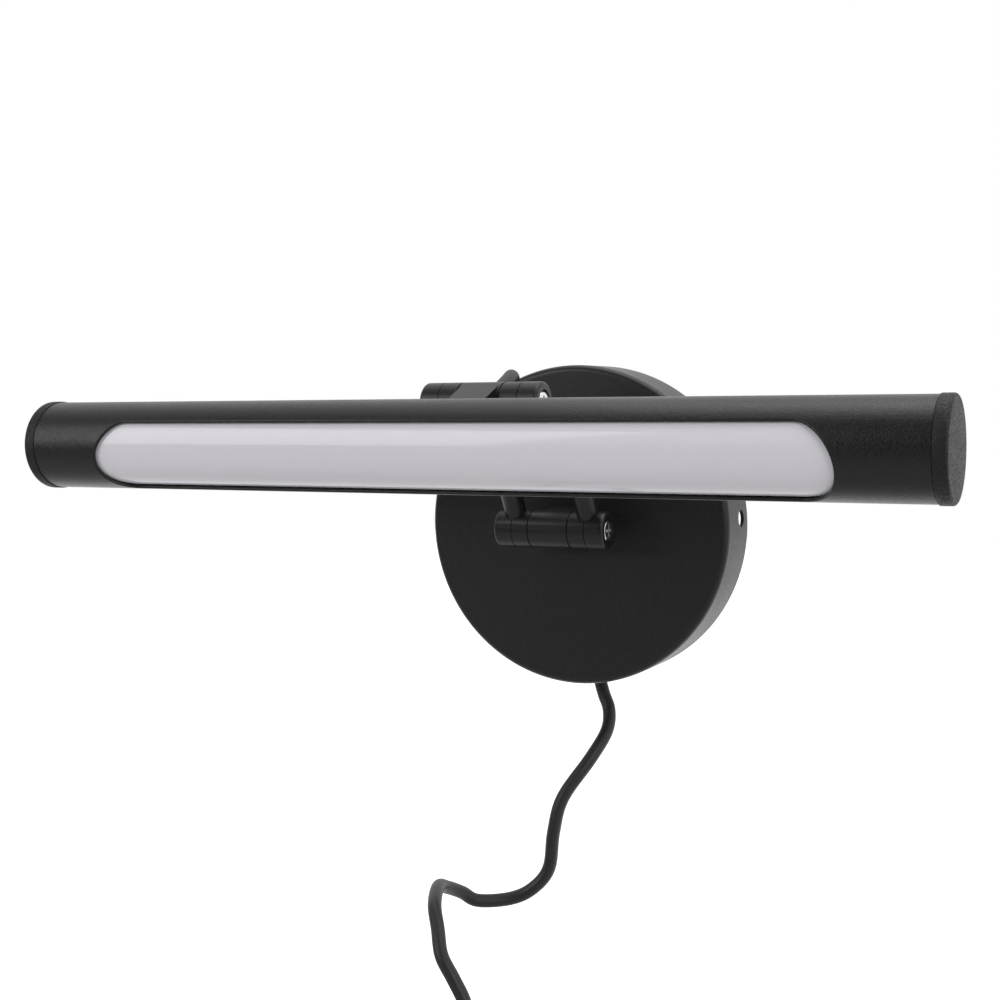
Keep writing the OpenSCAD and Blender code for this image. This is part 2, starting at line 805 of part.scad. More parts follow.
// The cord runs onto the coil's outer right side and leaves it lower down, one turn further round
coil_strand_r = (coil_bundle - cord_d) / 2;
coil_at = [-4 - coil_r - coil_strand_r, -100, -coil_drop];
tail_x = -5.8;
tail_y = -104.8;
tail_route = [for (down = [0, 14, 26, 38]) [tail_x, tail_y, -coil_drop - down]];
tie_w = 6;
tie_t = 1;

module mains_cord() {
    path = smooth_route(cord_route, 3);
    color(black) cord_stretch(path, cord_d, 0, len(path) - 1, [0, 1, 0]);
}

module cord_coil() {
    color(black)
    translate(coil_at) facing_out() rotate_extrude($fn = round_fine)
        translate([coil_r, 0]) circle(d = coil_bundle, $fn = round_small);
}

// Strap round the bundle at the coil's left side
module coil_tie() {
    color("dimgray")
    translate(coil_at - [coil_r, 0, tie_w / 2])
    difference() {
        cylinder(d = coil_bundle + 2 * tie_t, h = tie_w, $fn = round_fine);
        translate([0, 0, -cut]) cylinder(d = coil_bundle, h = tie_w + 2 * cut, $fn = round_fine);
    }
}

module cord_tail() {
    path = smooth_route(tail_route, 2);
    color(black) cord_stretch(path, cord_d, 0, len(path) - 1, [0, 1, 0]);
}

plug_at = tail_route[len(tail_route) - 1];
plug_boot_l = 22;
plug_w = 22;
plug_t = 13;
plug_l = 26;
plug_corner_r = 4;
pin_w = 6.3;
pin_t = 1.5;
pin_l = 17;
pin_spacing = 12.7;

// Moulded two-pin plug with its tapered boot, hanging pins down
module plug_body() {
    color(black)
    translate(plug_at) mirror([0, 0, 1]) {
        cylinder(r1 = cord_d / 2 + 0.8, r2 = plug_t / 2 - 1.5, h = plug_boot_l, $fn = round_fine);
        translate([0, 0, plug_boot_l]) linear_extrude(plug_l)
            for (x = [-1, 1], y = [-1, 1]) {
                translate([x * (plug_w / 2 - plug_corner_r), y * (plug_t / 2 - plug_corner_r)])
                    circle(r = plug_corner_r, $fn = bore_fn);
                square([plug_w - 2 * plug_corner_r, plug_t], center = true);
                square([plug_w, plug_t - 2 * plug_corner_r], center = true);
            }
    }
}

module plug_pins() {
    color("silver")
    translate(plug_at - [0, 0, plug_boot_l + plug_l + pin_l])
        for (s = [-1, 1])
            translate([s * pin_spacing / 2 - pin_t / 2, -pin_w / 2, 0]) cube([pin_t, pin_w, pin_l]);
}

// ---------- the part ----------

cup();
wall_knuckle();
stud_washer();
stud_nut();
cable_grommet();
cord_strain_relief();
driver_pad();
driver_case();
driver_lid();
driver_board();
wall_pivot_screws();
wall_friction_washers();
wall_clamp_inner_left();
wall_clamp_outer_left();
wall_clamp_inner_right();
wall_clamp_outer_right();
arm_rod_left();
arm_rod_right();
head_clamp_inner_left();
head_clamp_outer_left();
head_clamp_inner_right();
head_clamp_outer_right();
head_friction_washers();
head_pivot_screws();
head_knuckle();
neck_screws();
backing_plate();
lamp_tube();
end_cap_left();
end_cap_right();
diffuser();
led_carrier();
led_board();
led_chips();
board_screws();
led_wires();
lamp_cable_wall_end();
lamp_cable_head_end();
mains_cord();
cord_coil();
coil_tie();
cord_tail();
plug_body();
plug_pins();
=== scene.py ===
import json
import math

import bmesh
import bpy
from mathutils import Matrix, Vector


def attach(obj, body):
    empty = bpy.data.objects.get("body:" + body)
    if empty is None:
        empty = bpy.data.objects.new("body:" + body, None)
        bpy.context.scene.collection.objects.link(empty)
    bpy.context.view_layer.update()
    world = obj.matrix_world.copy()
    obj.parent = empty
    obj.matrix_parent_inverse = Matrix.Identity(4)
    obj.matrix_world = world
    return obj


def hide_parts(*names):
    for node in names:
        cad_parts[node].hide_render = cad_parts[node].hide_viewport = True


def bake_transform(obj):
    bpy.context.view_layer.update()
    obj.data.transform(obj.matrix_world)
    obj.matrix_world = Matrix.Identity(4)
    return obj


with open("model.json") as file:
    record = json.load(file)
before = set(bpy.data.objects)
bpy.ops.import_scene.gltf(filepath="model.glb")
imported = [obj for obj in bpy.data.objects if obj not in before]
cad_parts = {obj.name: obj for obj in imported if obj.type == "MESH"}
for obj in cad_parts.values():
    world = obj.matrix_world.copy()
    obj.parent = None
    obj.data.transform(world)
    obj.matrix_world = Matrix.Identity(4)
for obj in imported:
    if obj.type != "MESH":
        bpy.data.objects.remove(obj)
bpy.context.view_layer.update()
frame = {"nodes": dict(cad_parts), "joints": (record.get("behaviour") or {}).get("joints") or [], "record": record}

MM = 0.001
# Points closer together than these, in metres, are taken as one, or as lying at the same place
MERGE = 1e-6
TINY = 1e-7
nodes = frame["nodes"]
joint_at = {j["name"]: Vector(j["pos_m"]) for j in frame["joints"]}


def mm(x, y, z):
    """A point or a step given in millimetres."""
    return Vector((x, y, z)) * MM


def new_object(name, data):
    """An object of the scene that holds a mesh, curve, lamp or camera."""
    made = bpy.data.objects.new(name, data)
    bpy.context.scene.collection.objects.link(made)
    return made


# ---------- camera ----------

CAMERA_AT = mm(226.0, -553.8, 45.2)
CAMERA_LOOK = Vector((-0.4351, 0.8983, -0.0614)).normalized()
CAMERA_ACROSS = Vector((0.9002, 0.4355, -0.0078))

camera = new_object("camera", bpy.data.cameras.new("camera"))
bpy.context.scene.camera = camera
camera.data.sensor_width = 36
camera.data.lens = 55.42
camera.data.clip_start = 0.01
camera.data.clip_end = 60
across = (CAMERA_ACROSS - CAMERA_ACROSS.dot(CAMERA_LOOK) * CAMERA_LOOK).normalized()
upward = across.cross(CAMERA_LOOK)
camera.matrix_world = Matrix.Translation(CAMERA_AT) @ Matrix(
    (across, upward, -CAMERA_LOOK)
).transposed().to_4x4()

# ---------- the light's own sizes, as in part.scad ----------

CUP_R = 60 * MM
CUP_DEPTH = 24 * MM
CUP_SHEET = 1.2 * MM
CUP_EDGE_R = 2.5 * MM
CUP_TURN = math.radians(2.9)
CABLE_HOLE_UP = 26 * MM
CABLE_HOLE_R = 3.6 * MM
STUD_HOLE_R = 4.1 * MM
CORD_HOLE_R = 3.5 * MM
RIM_HOLE_R = 3.25 * MM
TUBE_R = 15 * MM
TUBE_BORE_R = 13.8 * MM
TUBE_L = 304.4 * MM
HEAD_REACH = 33.7 * MM
HEAD_PITCH = math.radians(23.5)
WINDOW_L = 252.6 * MM
WINDOW_W = 23.5 * MM
NECK_BORE_R = 2.8 * MM
NECK_SCREW_R = 1.35 * MM
NECK_SCREW_OUT = 4.4 * MM
CAP_R = TUBE_R + 0.3 * MM
CAP_T = 4.4 * MM
CAP_EDGE_R = 1 * MM
SPIGOT_R = TUBE_BORE_R - 0.1 * MM
SPIGOT_L = 8 * MM
SPIGOT_WALL = 2 * MM
DIFFUSER_R = TUBE_BORE_R - 0.3 * MM
DIFFUSER_T = 1.2 * MM
DIFFUSER_L = TUBE_L - 2 * SPIGOT_L - 0.4 * MM
DIFFUSER_CUT = 1.6 * MM
ARM_R = 72.1 * MM
ARM_LEAN = math.radians(20.5)
ARM_SWEEP = math.radians(60)
ROD_R = 4 * MM
ROD_OUT = 14.3 * MM
ROD_SHORT = 4.5 * MM
CORD_D = 5 * MM
CABLE_D = 5 * MM

# Small shapes that only the look has
CUP_RIM_EDGE = 0.25 * MM
LIP_R = 0.58 * MM
CAP_SEAM = 0.15 * MM
CAP_SKIRT_R = 0.2 * MM
SPIGOT_LEAD = 0.4 * MM

# Sizes in plain millimetres
CORD_HOLE_OUT = 6
RIM_HOLE_OUT = 7.9
PLUG_SIZE = (22, 13, 26)
PLUG_DOWN = 35
GROOVES = 5
GROOVE_STEP = 3.2
FIRST_GROOVE_DOWN = 29
GROOVE_HALF_W = 0.8
GROOVE_DEPTH = 0.7
BOOT_L = 22
BOOT_BORE_R = 2.5
BOOT_THIN_R, BOOT_THICK_R = 3.3, 5.0
RIBS = 5
RIB_STEP = 3.6
FIRST_RIB_DOWN = 2.2
RIB_DEPTH = 0.55
BLADE_SIZE = (1.5, 6.3, 17)
BLADE_SPACING = 12.7
BLADE_HOLE_R = 1.5
BLADE_HOLE_DOWN = 61
TIE_INNER_R, TIE_OUTER_R = 10.05, 11
TIE_HALF_W = 2.2
TIE_HEAD_SIZE = (6.5, 3.6, 5.6)
TIE_HEAD_OUT = 12.3

wall_hinge = joint_at["arm_pivot"]
head_hinge = joint_at["head_tilt"]
head_turn = Matrix.Rotation(HEAD_PITCH, 4, "X")
tube_axis = head_hinge - head_turn @ Vector((0, HEAD_REACH, 0))
in_head = Matrix.Translation(tube_axis) @ head_turn
turned_with_cup = Matrix.Rotation(-CUP_TURN, 4, "Y")
# Turns that lay the local Z axis along X, out from the wall, and back towards it
ALONG_X = Matrix.Rotation(math.radians(90), 4, "Y")
FACING_OUT = Matrix.Rotation(math.radians(90), 4, "X")
FACING_BACK = Matrix.Rotation(math.radians(-90), 4, "X")

# ---------- cord routes ----------


# Points from one point of a route to the next
MAINS_STEPS = 6
CABLE_STEPS = 8


def smooth_route(points, steps):
    """Points of a smooth curve that passes through every point of a route."""
    route = [2 * points[0] - points[1], *points, 2 * points[-1] - points[-2]]
    out = []
    for i in range(1, len(route) - 2):
        before, here, there, after = route[i - 1 : i + 3]
        for k in range(steps):
            t = k / steps
            out.append(
                0.5 * (2 * here + (there - before) * t
                       + (2 * before - 5 * here + 4 * there - after) * t * t
                       + (3 * here - before - 3 * there + after) * t * t * t)
            )
    return out + [points[-1].copy()]


def in_cord_hole(radius):
    """A point of the cord hole's axis, which is turned with the cup."""
    return mm(radius * math.sin(CUP_TURN), -CORD_HOLE_OUT, -radius * math.cos(CUP_TURN))


# The coil in plain millimetres: its turns lie in a bundle, STRAND_R from the bundle's middle
COIL_R = 30
STRAND_R = 7.5
COIL_TURNS = 8
POINTS_A_TURN = 36
STRAND_TURN = math.radians(40)
COIL_AT = (-4 - COIL_R - STRAND_R, -100, -214)
mains_route = [in_cord_hole(38), in_cord_hole(50), in_cord_hole(60)] + [
    mm(*p) for p in (
        (5, -7, -66), (8, -9, -72), (9, -14, -79), (6, -23, -88), (-2, -31, -102), (-5, -33, -115),
        (-7, -33, -129), (-13, -35, -137), (-21, -38, -141), (-31, -45, -141), (-35, -50, -137),
        (-37, -58, -133), (-36, -67, -130), (-29, -83, -131), (-24, -90, -137), (-20, -95, -144),
        (-15, -96, -151), (-11, -96, -158), (-8, -97, -166), (-6, -98, -176), (-4, -99, -186),
        (-4, -100, -196), (-4, -100, -205),
    )
]


def on_coil(turns):
    """A point of the winding: each turn lies one place further round inside the bundle."""
    turn = 2 * math.pi * turns
    place = STRAND_TURN * turns
    radius = COIL_R + STRAND_R * math.cos(place)
    return mm(
        COIL_AT[0] + radius * math.cos(turn),
        COIL_AT[1] + STRAND_R * math.sin(place),
        COIL_AT[2] - radius * math.sin(turn),
    )


coil_line = [on_coil(i / POINTS_A_TURN) for i in range(POINTS_A_TURN * COIL_TURNS + 1)]
tail_line = [coil_line[-1] + mm(0, 0, -down) for down in (6, 14, 22, 30, 38, 44)]
mains_line = smooth_route(mains_route, MAINS_STEPS) + coil_line + tail_line

cable_hole = Vector((0, -CUP_DEPTH, CABLE_HOLE_UP))


def on_neck(share):
    """A point of the neck's bore, as a share of the way from the tube's axis to the head hinge."""
    return in_head @ Vector((0, share * HEAD_REACH, 0))


def on_arch(share, x, up):
    """A point of the free arch, as a share of the way from the cup's hole to the head hinge."""
    return cable_hole.lerp(head_hinge, share) + mm(x, 0, up)


def off_cup(x, out, up):
    """A point out in front of the cup's cable hole."""
    return mm(x, -out, up) + cable_hole


lamp_cable_route = [
    in_head @ mm(0, 9.4, 0), *(on_neck(share) for share in (0.54, 0.81, 1.06, 1.33)),
    on_arch(0.76, -0.5, 12.2), on_arch(0.65, -2.5, 16.1), on_arch(0.56, -5, 14.4),
    on_arch(0.5, -6.5, 7.5), on_arch(0.45, -6, 0.4), on_arch(0.34, -4, -3.5), off_cup(-1.5, 15, 0.5),
    off_cup(0, 7, 0), off_cup(0, 1, 0), off_cup(0, -4, 0), off_cup(-4, -9.5, -4),
    mm(-11, -12, 12), mm(-16, -12, 0), mm(-17, -12, -12),
]
# The point of the cable's line where its two lengths meet, close to the head's knuckle
CABLE_JOIN = 33
lamp_cable_line = smooth_route(lamp_cable_route, CABLE_STEPS)

# ---------- finishes ----------


def new_group(name, inputs, outputs):
    """An effect that several finishes share, with its inputs' starting values and its outputs."""
    group = bpy.data.node_groups.new(name, "ShaderNodeTree")
    for label, value in inputs:
        socket = group.interface.new_socket(label, in_out="INPUT", socket_type="NodeSocketFloat")
        socket.default_value = value
    for label in outputs:
        group.interface.new_socket(label, in_out="OUTPUT", socket_type="NodeSocketFloat")
    entry = group.nodes.new("NodeGroupInput")
    result = group.nodes.new("NodeGroupOutput")
    place = group.nodes.new("ShaderNodeTexCoord")
    return group, entry.outputs, result.inputs, place.outputs["Object"]


def node_in(tree, kind, links=(), **settings):
    """A node with its settings, and with what goes into each of its inputs."""
    node = tree.nodes.new(kind)
    for name, value in settings.items():
        setattr(node, name, value)
    for socket, source in links:
        if isinstance(source, bpy.types.NodeSocket):
            tree.links.new(source, node.inputs[socket])
        else:
            node.inputs[socket].default_value = source
    return node


def maths(tree, operation, *values):
    """What a maths node makes of its values."""
    return node_in(tree, "ShaderNodeMath", enumerate(values), operation=operation).outputs[0]


def noise_in(tree, place, scale, detail, roughness=0.5):
    return node_in(tree, "ShaderNodeTexNoise", [
        ("Vector", place), ("Scale", scale), ("Detail", detail), ("Roughness", roughness),
    ]).outputs["Fac"]


def spread(tree, value, low, high, to_low=0.0, to_high=1.0):
    """What lies from low to high, spread from to_low to to_high and held there."""
    return node_in(tree, "ShaderNodeMapRange", [
        ("Value", value), ("From Min", low), ("From Max", high),
        ("To Min", to_low), ("To Max", to_high),
    ]).outputs[0]


def ranged(tree, value, low, high):
    """A mask from 0 to 1, turned into a value from low to high."""
    return spread(tree, value, 0.0, 1.0, low, high)


def coat_skin():
    """Sprayed or powder-coated skin: fine pebbles with a slower orange peel under them."""
    group, given, made, place = new_group("coat_skin", [("Scale", 1400.0)], ["Height", "Tone"])
    pebbles = noise_in(group, place, given["Scale"], 2.0, 0.6)
    peel = noise_in(group, place, maths(group, "MULTIPLY", given["Scale"], 0.22), 1.0)
    fine = maths(group, "MULTIPLY", pebbles, 0.65)
    group.links.new(maths(group, "MULTIPLY_ADD", peel, 0.35, fine), made["Height"])
    group.links.new(spread(group, pebbles, 0.3, 0.7), made["Tone"])
    return group


def handled():
    """Slow patches where hands and cloths have changed the gloss a little."""
    group, given, made, place = new_group("handled", [("Scale", 24.0)], ["Mask"])
    patches = noise_in(group, place, given["Scale"], 5.0, 0.62)
    group.links.new(spread(group, patches, 0.38, 0.66), made["Mask"])
    return group


def drawn_lines():
    """Lines that turning, drawing or rolling leaves in bare metal, along one way."""
    group, given, made, place = new_group(
        "drawn_lines", [("Scale", 900.0), ("Along", 0.03)], ["Height", "Tone"]
    )
    squeeze = node_in(group, "ShaderNodeCombineXYZ", [
        ("X", given["Along"]), ("Y", 1.0), ("Z", 1.0),
    ]).outputs[0]
    place = node_in(group, "ShaderNodeMapping", [("Vector", place), ("Scale", squeeze)]).outputs[0]
    lines = noise_in(group, place, given["Scale"], 3.0, 0.7)
    group.links.new(lines, made["Height"])
    group.links.new(spread(group, lines, 0.3, 0.7), made["Tone"])
    return group


def settled_dust():
    """A thin film on what faces up, broken by a noise."""
    group, given, made, place = new_group(
        "settled_dust", [("Scale", 260.0), ("Amount", 0.1)], ["Mask"]
    )
    face = node_in(group, "ShaderNodeNewGeometry").outputs["Normal"]
    height = node_in(group, "ShaderNodeSeparateXYZ", [(0, face)]).outputs["Z"]
    up = spread(group, height, 0.35, 1.0)
    specks = spread(group, noise_in(group, place, given["Scale"], 4.0, 0.7), 0.35, 0.75)
    both = maths(group, "MULTIPLY", up, specks)
    group.links.new(maths(group, "MULTIPLY", both, given["Amount"]), made["Mask"])
    return group


EFFECTS = {f.__name__: f() for f in (coat_skin, handled, drawn_lines, settled_dust)}


def effect_in(tree, name, **values):
    """One of the shared effects, with what differs from its starting values."""
    node = node_in(tree, "ShaderNodeGroup", node_tree=EFFECTS[name])
    for label, value in values.items():
        node.inputs[label].default_value = value
    return node.outputs


def blended(tree, mask, first, second):
    """The first colour where the mask is 0, and the second where it is 1."""
    node = tree.nodes.new("ShaderNodeMix")
    node.data_type = "RGBA"
    colour_sockets = [s for s in node.inputs if s.type == "RGBA"]
    for socket, value in zip(colour_sockets, (first, second)):
        if isinstance(value, bpy.types.NodeSocket):
            tree.links.new(value, socket)
        else:
            socket.default_value = (*value, 1.0)
    tree.links.new(mask, node.inputs[0])
    return next(s for s in node.outputs if s.type == "RGBA")


def shades(colour, share):
    """Two shades of a colour, a share darker and a share lighter."""
    return (
        tuple(c * (1 - share) for c in colour),
        tuple(min(1.0, c * (1 + share)) for c in colour),
    )


def new_finish(name, constants):
    """A material with its Principled shader, whose fixed values stand on the shader's own sockets."""
    material = bpy.data.materials.new(name)
    material.use_nodes = True
    tree = material.node_tree
    shader = next(n for n in tree.nodes if n.type == "BSDF_PRINCIPLED")
    for socket, value in constants.items():
        shader.inputs[socket].default_value = value
    return material, tree, shader


def bumped(tree, shader, height, distance):
    """Raises the skin by a height of 0 to 1, times a distance in metres."""
    bump = node_in(tree, "ShaderNodeBump", [
        ("Height", height), ("Distance", distance), ("Strength", 1.0),
    ])
    tree.links.new(bump.outputs[0], shader.inputs["Normal"])


def paint_finish(name, colour, roughness, scale, depth, dust=0.0, grain=0.1):
    """Black paint or powder coat on metal, whose pebbles differ in roughness by the share grain."""
    material, tree, shader = new_finish(name, {"Specular IOR Level": 0.4})
    skin = effect_in(tree, "coat_skin", Scale=scale)
    patches = effect_in(tree, "handled", Scale=22.0)
    body = blended(tree, skin["Tone"], *shades(colour, 0.25))
    if dust:
        film = effect_in(tree, "settled_dust", Amount=dust)
        body = blended(tree, film["Mask"], body, (0.42, 0.41, 0.39))
    tree.links.new(body, shader.inputs["Base Color"])
    slow = ranged(tree, patches["Mask"], roughness, roughness * 1.18)
    fine = ranged(tree, skin["Tone"], 1 - grain, 1 + grain)
    tree.links.new(maths(tree, "MULTIPLY", slow, fine), shader.inputs["Roughness"])
    bumped(tree, shader, skin["Height"], depth)
    return material


def metal_finish(name, colour, roughness, scale, along, depth):
    """Bare or plated metal with the lines of its making."""
    material, tree, shader = new_finish(name, {"Metallic": 1.0})
    lines = effect_in(tree, "drawn_lines", Scale=scale, Along=along)
    patches = effect_in(tree, "handled", Scale=60.0)
    tree.links.new(blended(tree, lines["Tone"], *shades(colour, 0.06)), shader.inputs["Base Color"])
    gloss = ranged(tree, patches["Mask"], roughness, roughness * 1.5)
    tree.links.new(gloss, shader.inputs["Roughness"])
    bumped(tree, shader, lines["Height"], depth)
    return material


def moulded_finish(name, colour, roughness, scale, depth, specular=0.5):
    """Moulded plastic or rubber with a fine spark-eroded skin."""
    material, tree, shader = new_finish(name, {"Specular IOR Level": specular})
    skin = effect_in(tree, "coat_skin", Scale=scale)
    patches = effect_in(tree, "handled", Scale=45.0)
    tree.links.new(blended(tree, skin["Tone"], *shades(colour, 0.08)), shader.inputs["Base Color"])
    gloss = ranged(tree, patches["Mask"], roughness, roughness * 1.25)
    tree.links.new(gloss, shader.inputs["Roughness"])
    bumped(tree, shader, skin["Height"], depth)
    return material


def diffuser_finish():
    """Milky extruded plastic, faintly lilac, with the extrusion's slow lines along it."""
    material, tree, shader = new_finish("milky_diffuser", {"Specular IOR Level": 0.3, "IOR": 1.49})
    lines = effect_in(tree, "drawn_lines", Scale=140.0, Along=0.02)
    patches = effect_in(tree, "handled", Scale=14.0)
    body = blended(tree, lines["Tone"], (0.724, 0.704, 0.754), (0.746, 0.726, 0.777))
    body = blended(tree, patches["Mask"], body, (0.740, 0.718, 0.768))
    tree.links.new(body, shader.inputs["Base Color"])
    tree.links.new(ranged(tree, patches["Mask"], 0.07, 0.11), shader.inputs["Roughness"])
    bumped(tree, shader, lines["Height"], 0.000004)
    return material


def board_finish():
    """Green circuit board, with darker tracks and a woven glass core showing faintly."""
    material, tree, shader = new_finish("circuit_board", {})
    place = node_in(tree, "ShaderNodeTexCoord").outputs["Object"]
    cells = node_in(
        tree, "ShaderNodeTexVoronoi", [("Vector", place), ("Scale", 420.0)],
        distance="MANHATTAN", feature="F1",
    ).outputs["Distance"]
    weave = node_in(tree, "ShaderNodeTexWave", [
        ("Vector", place), ("Scale", 900.0), ("Distortion", 1.0),
    ]).outputs["Fac"]
    tracks = spread(tree, cells, 0.28, 0.34)
    body = blended(tree, tracks, (0.030, 0.150, 0.065), (0.045, 0.200, 0.090))
    tree.links.new(body, shader.inputs["Base Color"])
    tree.links.new(ranged(tree, weave, 0.3, 0.45), shader.inputs["Roughness"])
    bumped(tree, shader, tracks, 0.00004)
    return material


def chip_finish():
    """Phosphor-filled LED package: a yellow gel in a paler frame."""
    material, tree, shader = new_finish("led_phosphor", {"Specular IOR Level": 0.5})
    skin = effect_in(tree, "coat_skin", Scale=3000.0)
    body = blended(tree, skin["Tone"], (0.86, 0.66, 0.20), (0.92, 0.78, 0.36))
    tree.links.new(body, shader.inputs["Base Color"])
    tree.links.new(ranged(tree, skin["Tone"], 0.2, 0.32), shader.inputs["Roughness"])
    bumped(tree, shader, skin["Height"], 0.00002)
    return material


def foam_finish():
    """Double-sided foam tape with open cells."""
    material, tree, shader = new_finish("foam_tape", {"Specular IOR Level": 0.2})
    place = node_in(tree, "ShaderNodeTexCoord").outputs["Object"]
    cells = node_in(tree, "ShaderNodeTexVoronoi", [
        ("Vector", place), ("Scale", 1500.0),
    ]).outputs["Distance"]
    body = blended(tree, cells, (0.62, 0.62, 0.60), (0.84, 0.84, 0.82))
    tree.links.new(body, shader.inputs["Base Color"])
    tree.links.new(ranged(tree, cells, 0.85, 0.95), shader.inputs["Roughness"])
    bumped(tree, shader, cells, 0.0002)
    return material


# Each has its name, its colour, its roughness, the fineness of its skin or lines, and their depth
# in metres. Before the depth a metal has how far its lines are drawn out: 1 is not at all. After
# the depth a moulding may have its specular level.
finishes = {
    "cup_paint": paint_finish(
        "cup_black", (0.0075, 0.0075, 0.0080), 0.37, 1900.0, 0.000055, dust=0.01, grain=0.2
    ),
    "hinge_paint": paint_finish("hinge_black", (0.0060, 0.0060, 0.0065), 0.34, 2400.0, 0.000008),
    "tube_paint": paint_finish(
        "tube_black", (0.0050, 0.0048, 0.0050), 0.33, 1900.0, 0.000110, dust=0.01, grain=0.25
    ),
    "cap_paint": paint_finish("cap_black", (0.0050, 0.0048, 0.0050), 0.56, 1900.0, 0.000110, grain=0.4),
    "screw_chrome": metal_finish("screw_plating", (0.78, 0.78, 0.80), 0.16, 1600.0, 1.0, 0.000004),
    "zinc": metal_finish("zinc_plating", (0.60, 0.60, 0.58), 0.32, 700.0, 0.6, 0.00001),
    "cord_black": moulded_finish("cord_jacket", (0.014, 0.014, 0.015), 0.42, 1300.0, 0.000018, 0.42),
    "bush_black": moulded_finish("rubber_bush", (0.018, 0.018, 0.018), 0.62, 1800.0, 0.00003, 0.35),
    "nylon_black": moulded_finish("nylon_tie", (0.020, 0.020, 0.021), 0.35, 1500.0, 0.00001),
    "plug_black": moulded_finish("plug_jacket", (0.016, 0.016, 0.017), 0.45, 1200.0, 0.00004),
    "pin_metal": metal_finish("pin_plating", (0.72, 0.70, 0.62), 0.22, 900.0, 1.0, 0.000004),
    "milky": diffuser_finish(),
    "carrier_metal": metal_finish("mill_aluminium", (0.74, 0.75, 0.76), 0.38, 500.0, 0.02, 0.00002),
    "strip_white": moulded_finish("strip_mask", (0.82, 0.82, 0.79), 0.45, 2200.0, 0.00001),
    "led_yellow": chip_finish(),
    "driver_white": moulded_finish("driver_shell", (0.72, 0.72, 0.69), 0.5, 1000.0, 0.00005),
    "board_green": board_finish(),
    "foam_white": foam_finish(),
    "wire_red": moulded_finish("wire_jacket", (0.42, 0.03, 0.025), 0.4, 1500.0, 0.00001),
    "washer_black": moulded_finish("nylon_washer", (0.022, 0.022, 0.022), 0.55, 1600.0, 0.00002),
}

# ---------- making pieces ----------

# Flats round what is swept along a line, round the cup, and round the tube and what fits it
ROD_SIDES = 20
CUP_SIDES = 192
TUBE_SIDES = 160


def add_piece(name, bm, slot, body=None, smooth=35):
    """Makes a piece from a finished bmesh, whose points stand where the piece is in the scene."""
    bmesh.ops.remove_doubles(bm, verts=bm.verts, dist=TINY)
    bmesh.ops.recalc_face_normals(bm, faces=bm.faces)
    mesh = bpy.data.meshes.new(name)
    bm.to_mesh(mesh)
    bm.free()
    piece = new_object(name, mesh)
    mesh.materials.append(finishes[slot])
    for face in mesh.polygons:
        face.use_smooth = True
    mesh.set_sharp_from_angle(angle=math.radians(smooth))
    if body:
        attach(piece, body)
    return piece


def evened(piece):
    """Lets the large flat faces keep their own normals beside rounded edges."""
    even = piece.modifiers.new("even_faces", "WEIGHTED_NORMAL")
    even.keep_sharp = True
    return piece


def everything(bm):
    """All points, edges and faces of a bmesh."""
    return bm.verts[:] + bm.edges[:] + bm.faces[:]


def add_box(bm, place, size):
    """Adds a box of a size in plain millimetres, with its middle at a place."""
    size = [length * MM for length in size]
    bmesh.ops.create_cube(bm, size=1, matrix=place @ Matrix.Diagonal((*size, 1)))


def drawn_out(bm, edges):
    """Extrudes a row of edges, and gives the new row's points and edges."""
    made = bmesh.ops.extrude_edge_only(bm, edges=edges)["geom"]
    points = [g for g in made if isinstance(g, bmesh.types.BMVert)]
    return points, [
        g for g in made if isinstance(g, bmesh.types.BMEdge) and all(v in points for v in g.verts)
    ]


def bevel(bm, edges, width, segments, clamp_overlap=False):
    """Rounds these edges by a width in metres."""
    bmesh.ops.bevel(
        bm, geom=edges, offset=width, affect="EDGES", segments=segments, profile=0.5,
        clamp_overlap=clamp_overlap, material=-1,
    )


def round_edges(bm, width, segments, angle=32):
    """Rounds every edge that turns more than the angle, as far as there is room."""
    edges = [
        e for e in bm.edges
        if len(e.link_faces) == 2 and e.calc_face_angle(0.0) > math.radians(angle)
    ]
    bevel(bm, edges, width, segments, clamp_overlap=True)


def softened(node, slot, body, width, segments=2):
    """A CAD piece with its hard edges broken, as deburring and paint leave them."""
    bm = bmesh.new()
    bm.from_mesh(nodes[node].data)
    bmesh.ops.remove_doubles(bm, verts=bm.verts, dist=MERGE)
    bmesh.ops.dissolve_limit(bm, angle_limit=math.radians(0.8), verts=bm.verts, edges=bm.edges)
    round_edges(bm, width, segments)
    piece = evened(add_piece("soft_" + node, bm, slot, body))
    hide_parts(node)
    return piece


def turned(profile, matrix, steps):
    """A closed outline of (radius, distance along the axis) points, spun round the local Z axis."""
    bm = bmesh.new()
    ring = [bm.verts.new((r, 0, z)) for r, z in profile]
    edges = [bm.edges.new((a, b)) for a, b in zip(ring, ring[1:] + ring[:1])]
    bmesh.ops.spin(
        bm, geom=ring + edges, cent=(0, 0, 0), axis=(0, 0, 1), dvec=(0, 0, 0),
        angle=2 * math.pi, steps=steps, use_merge=True, use_duplicate=False,
    )
    bmesh.ops.remove_doubles(bm, verts=bm.verts, dist=MERGE)
    bmesh.ops.transform(bm, matrix=matrix, verts=bm.verts)
    bmesh.ops.recalc_face_normals(bm, faces=bm.faces)
    return bm


def arc(cx, cy, r, start, end, steps):
    """Points of an arc round (cx, cy), from one angle to another in degrees."""
    return [
        (cx + r * math.cos(math.radians(start + (end - start) * i / steps)),
         cy + r * math.sin(math.radians(start + (end - start) * i / steps)))
        for i in range(steps + 1)
    ]


def rod_cutter(radius, start, end, matrix, steps=64):
    """A closed cylinder along the local Z axis, for cutting a hole."""
    bm = bmesh.new()
    bmesh.ops.create_cone(
        bm, cap_ends=True, segments=steps, radius1=radius, radius2=radius, depth=end - start,
        matrix=matrix @ Matrix.Translation((0, 0, (start + end) / 2)),
    )
    return bm


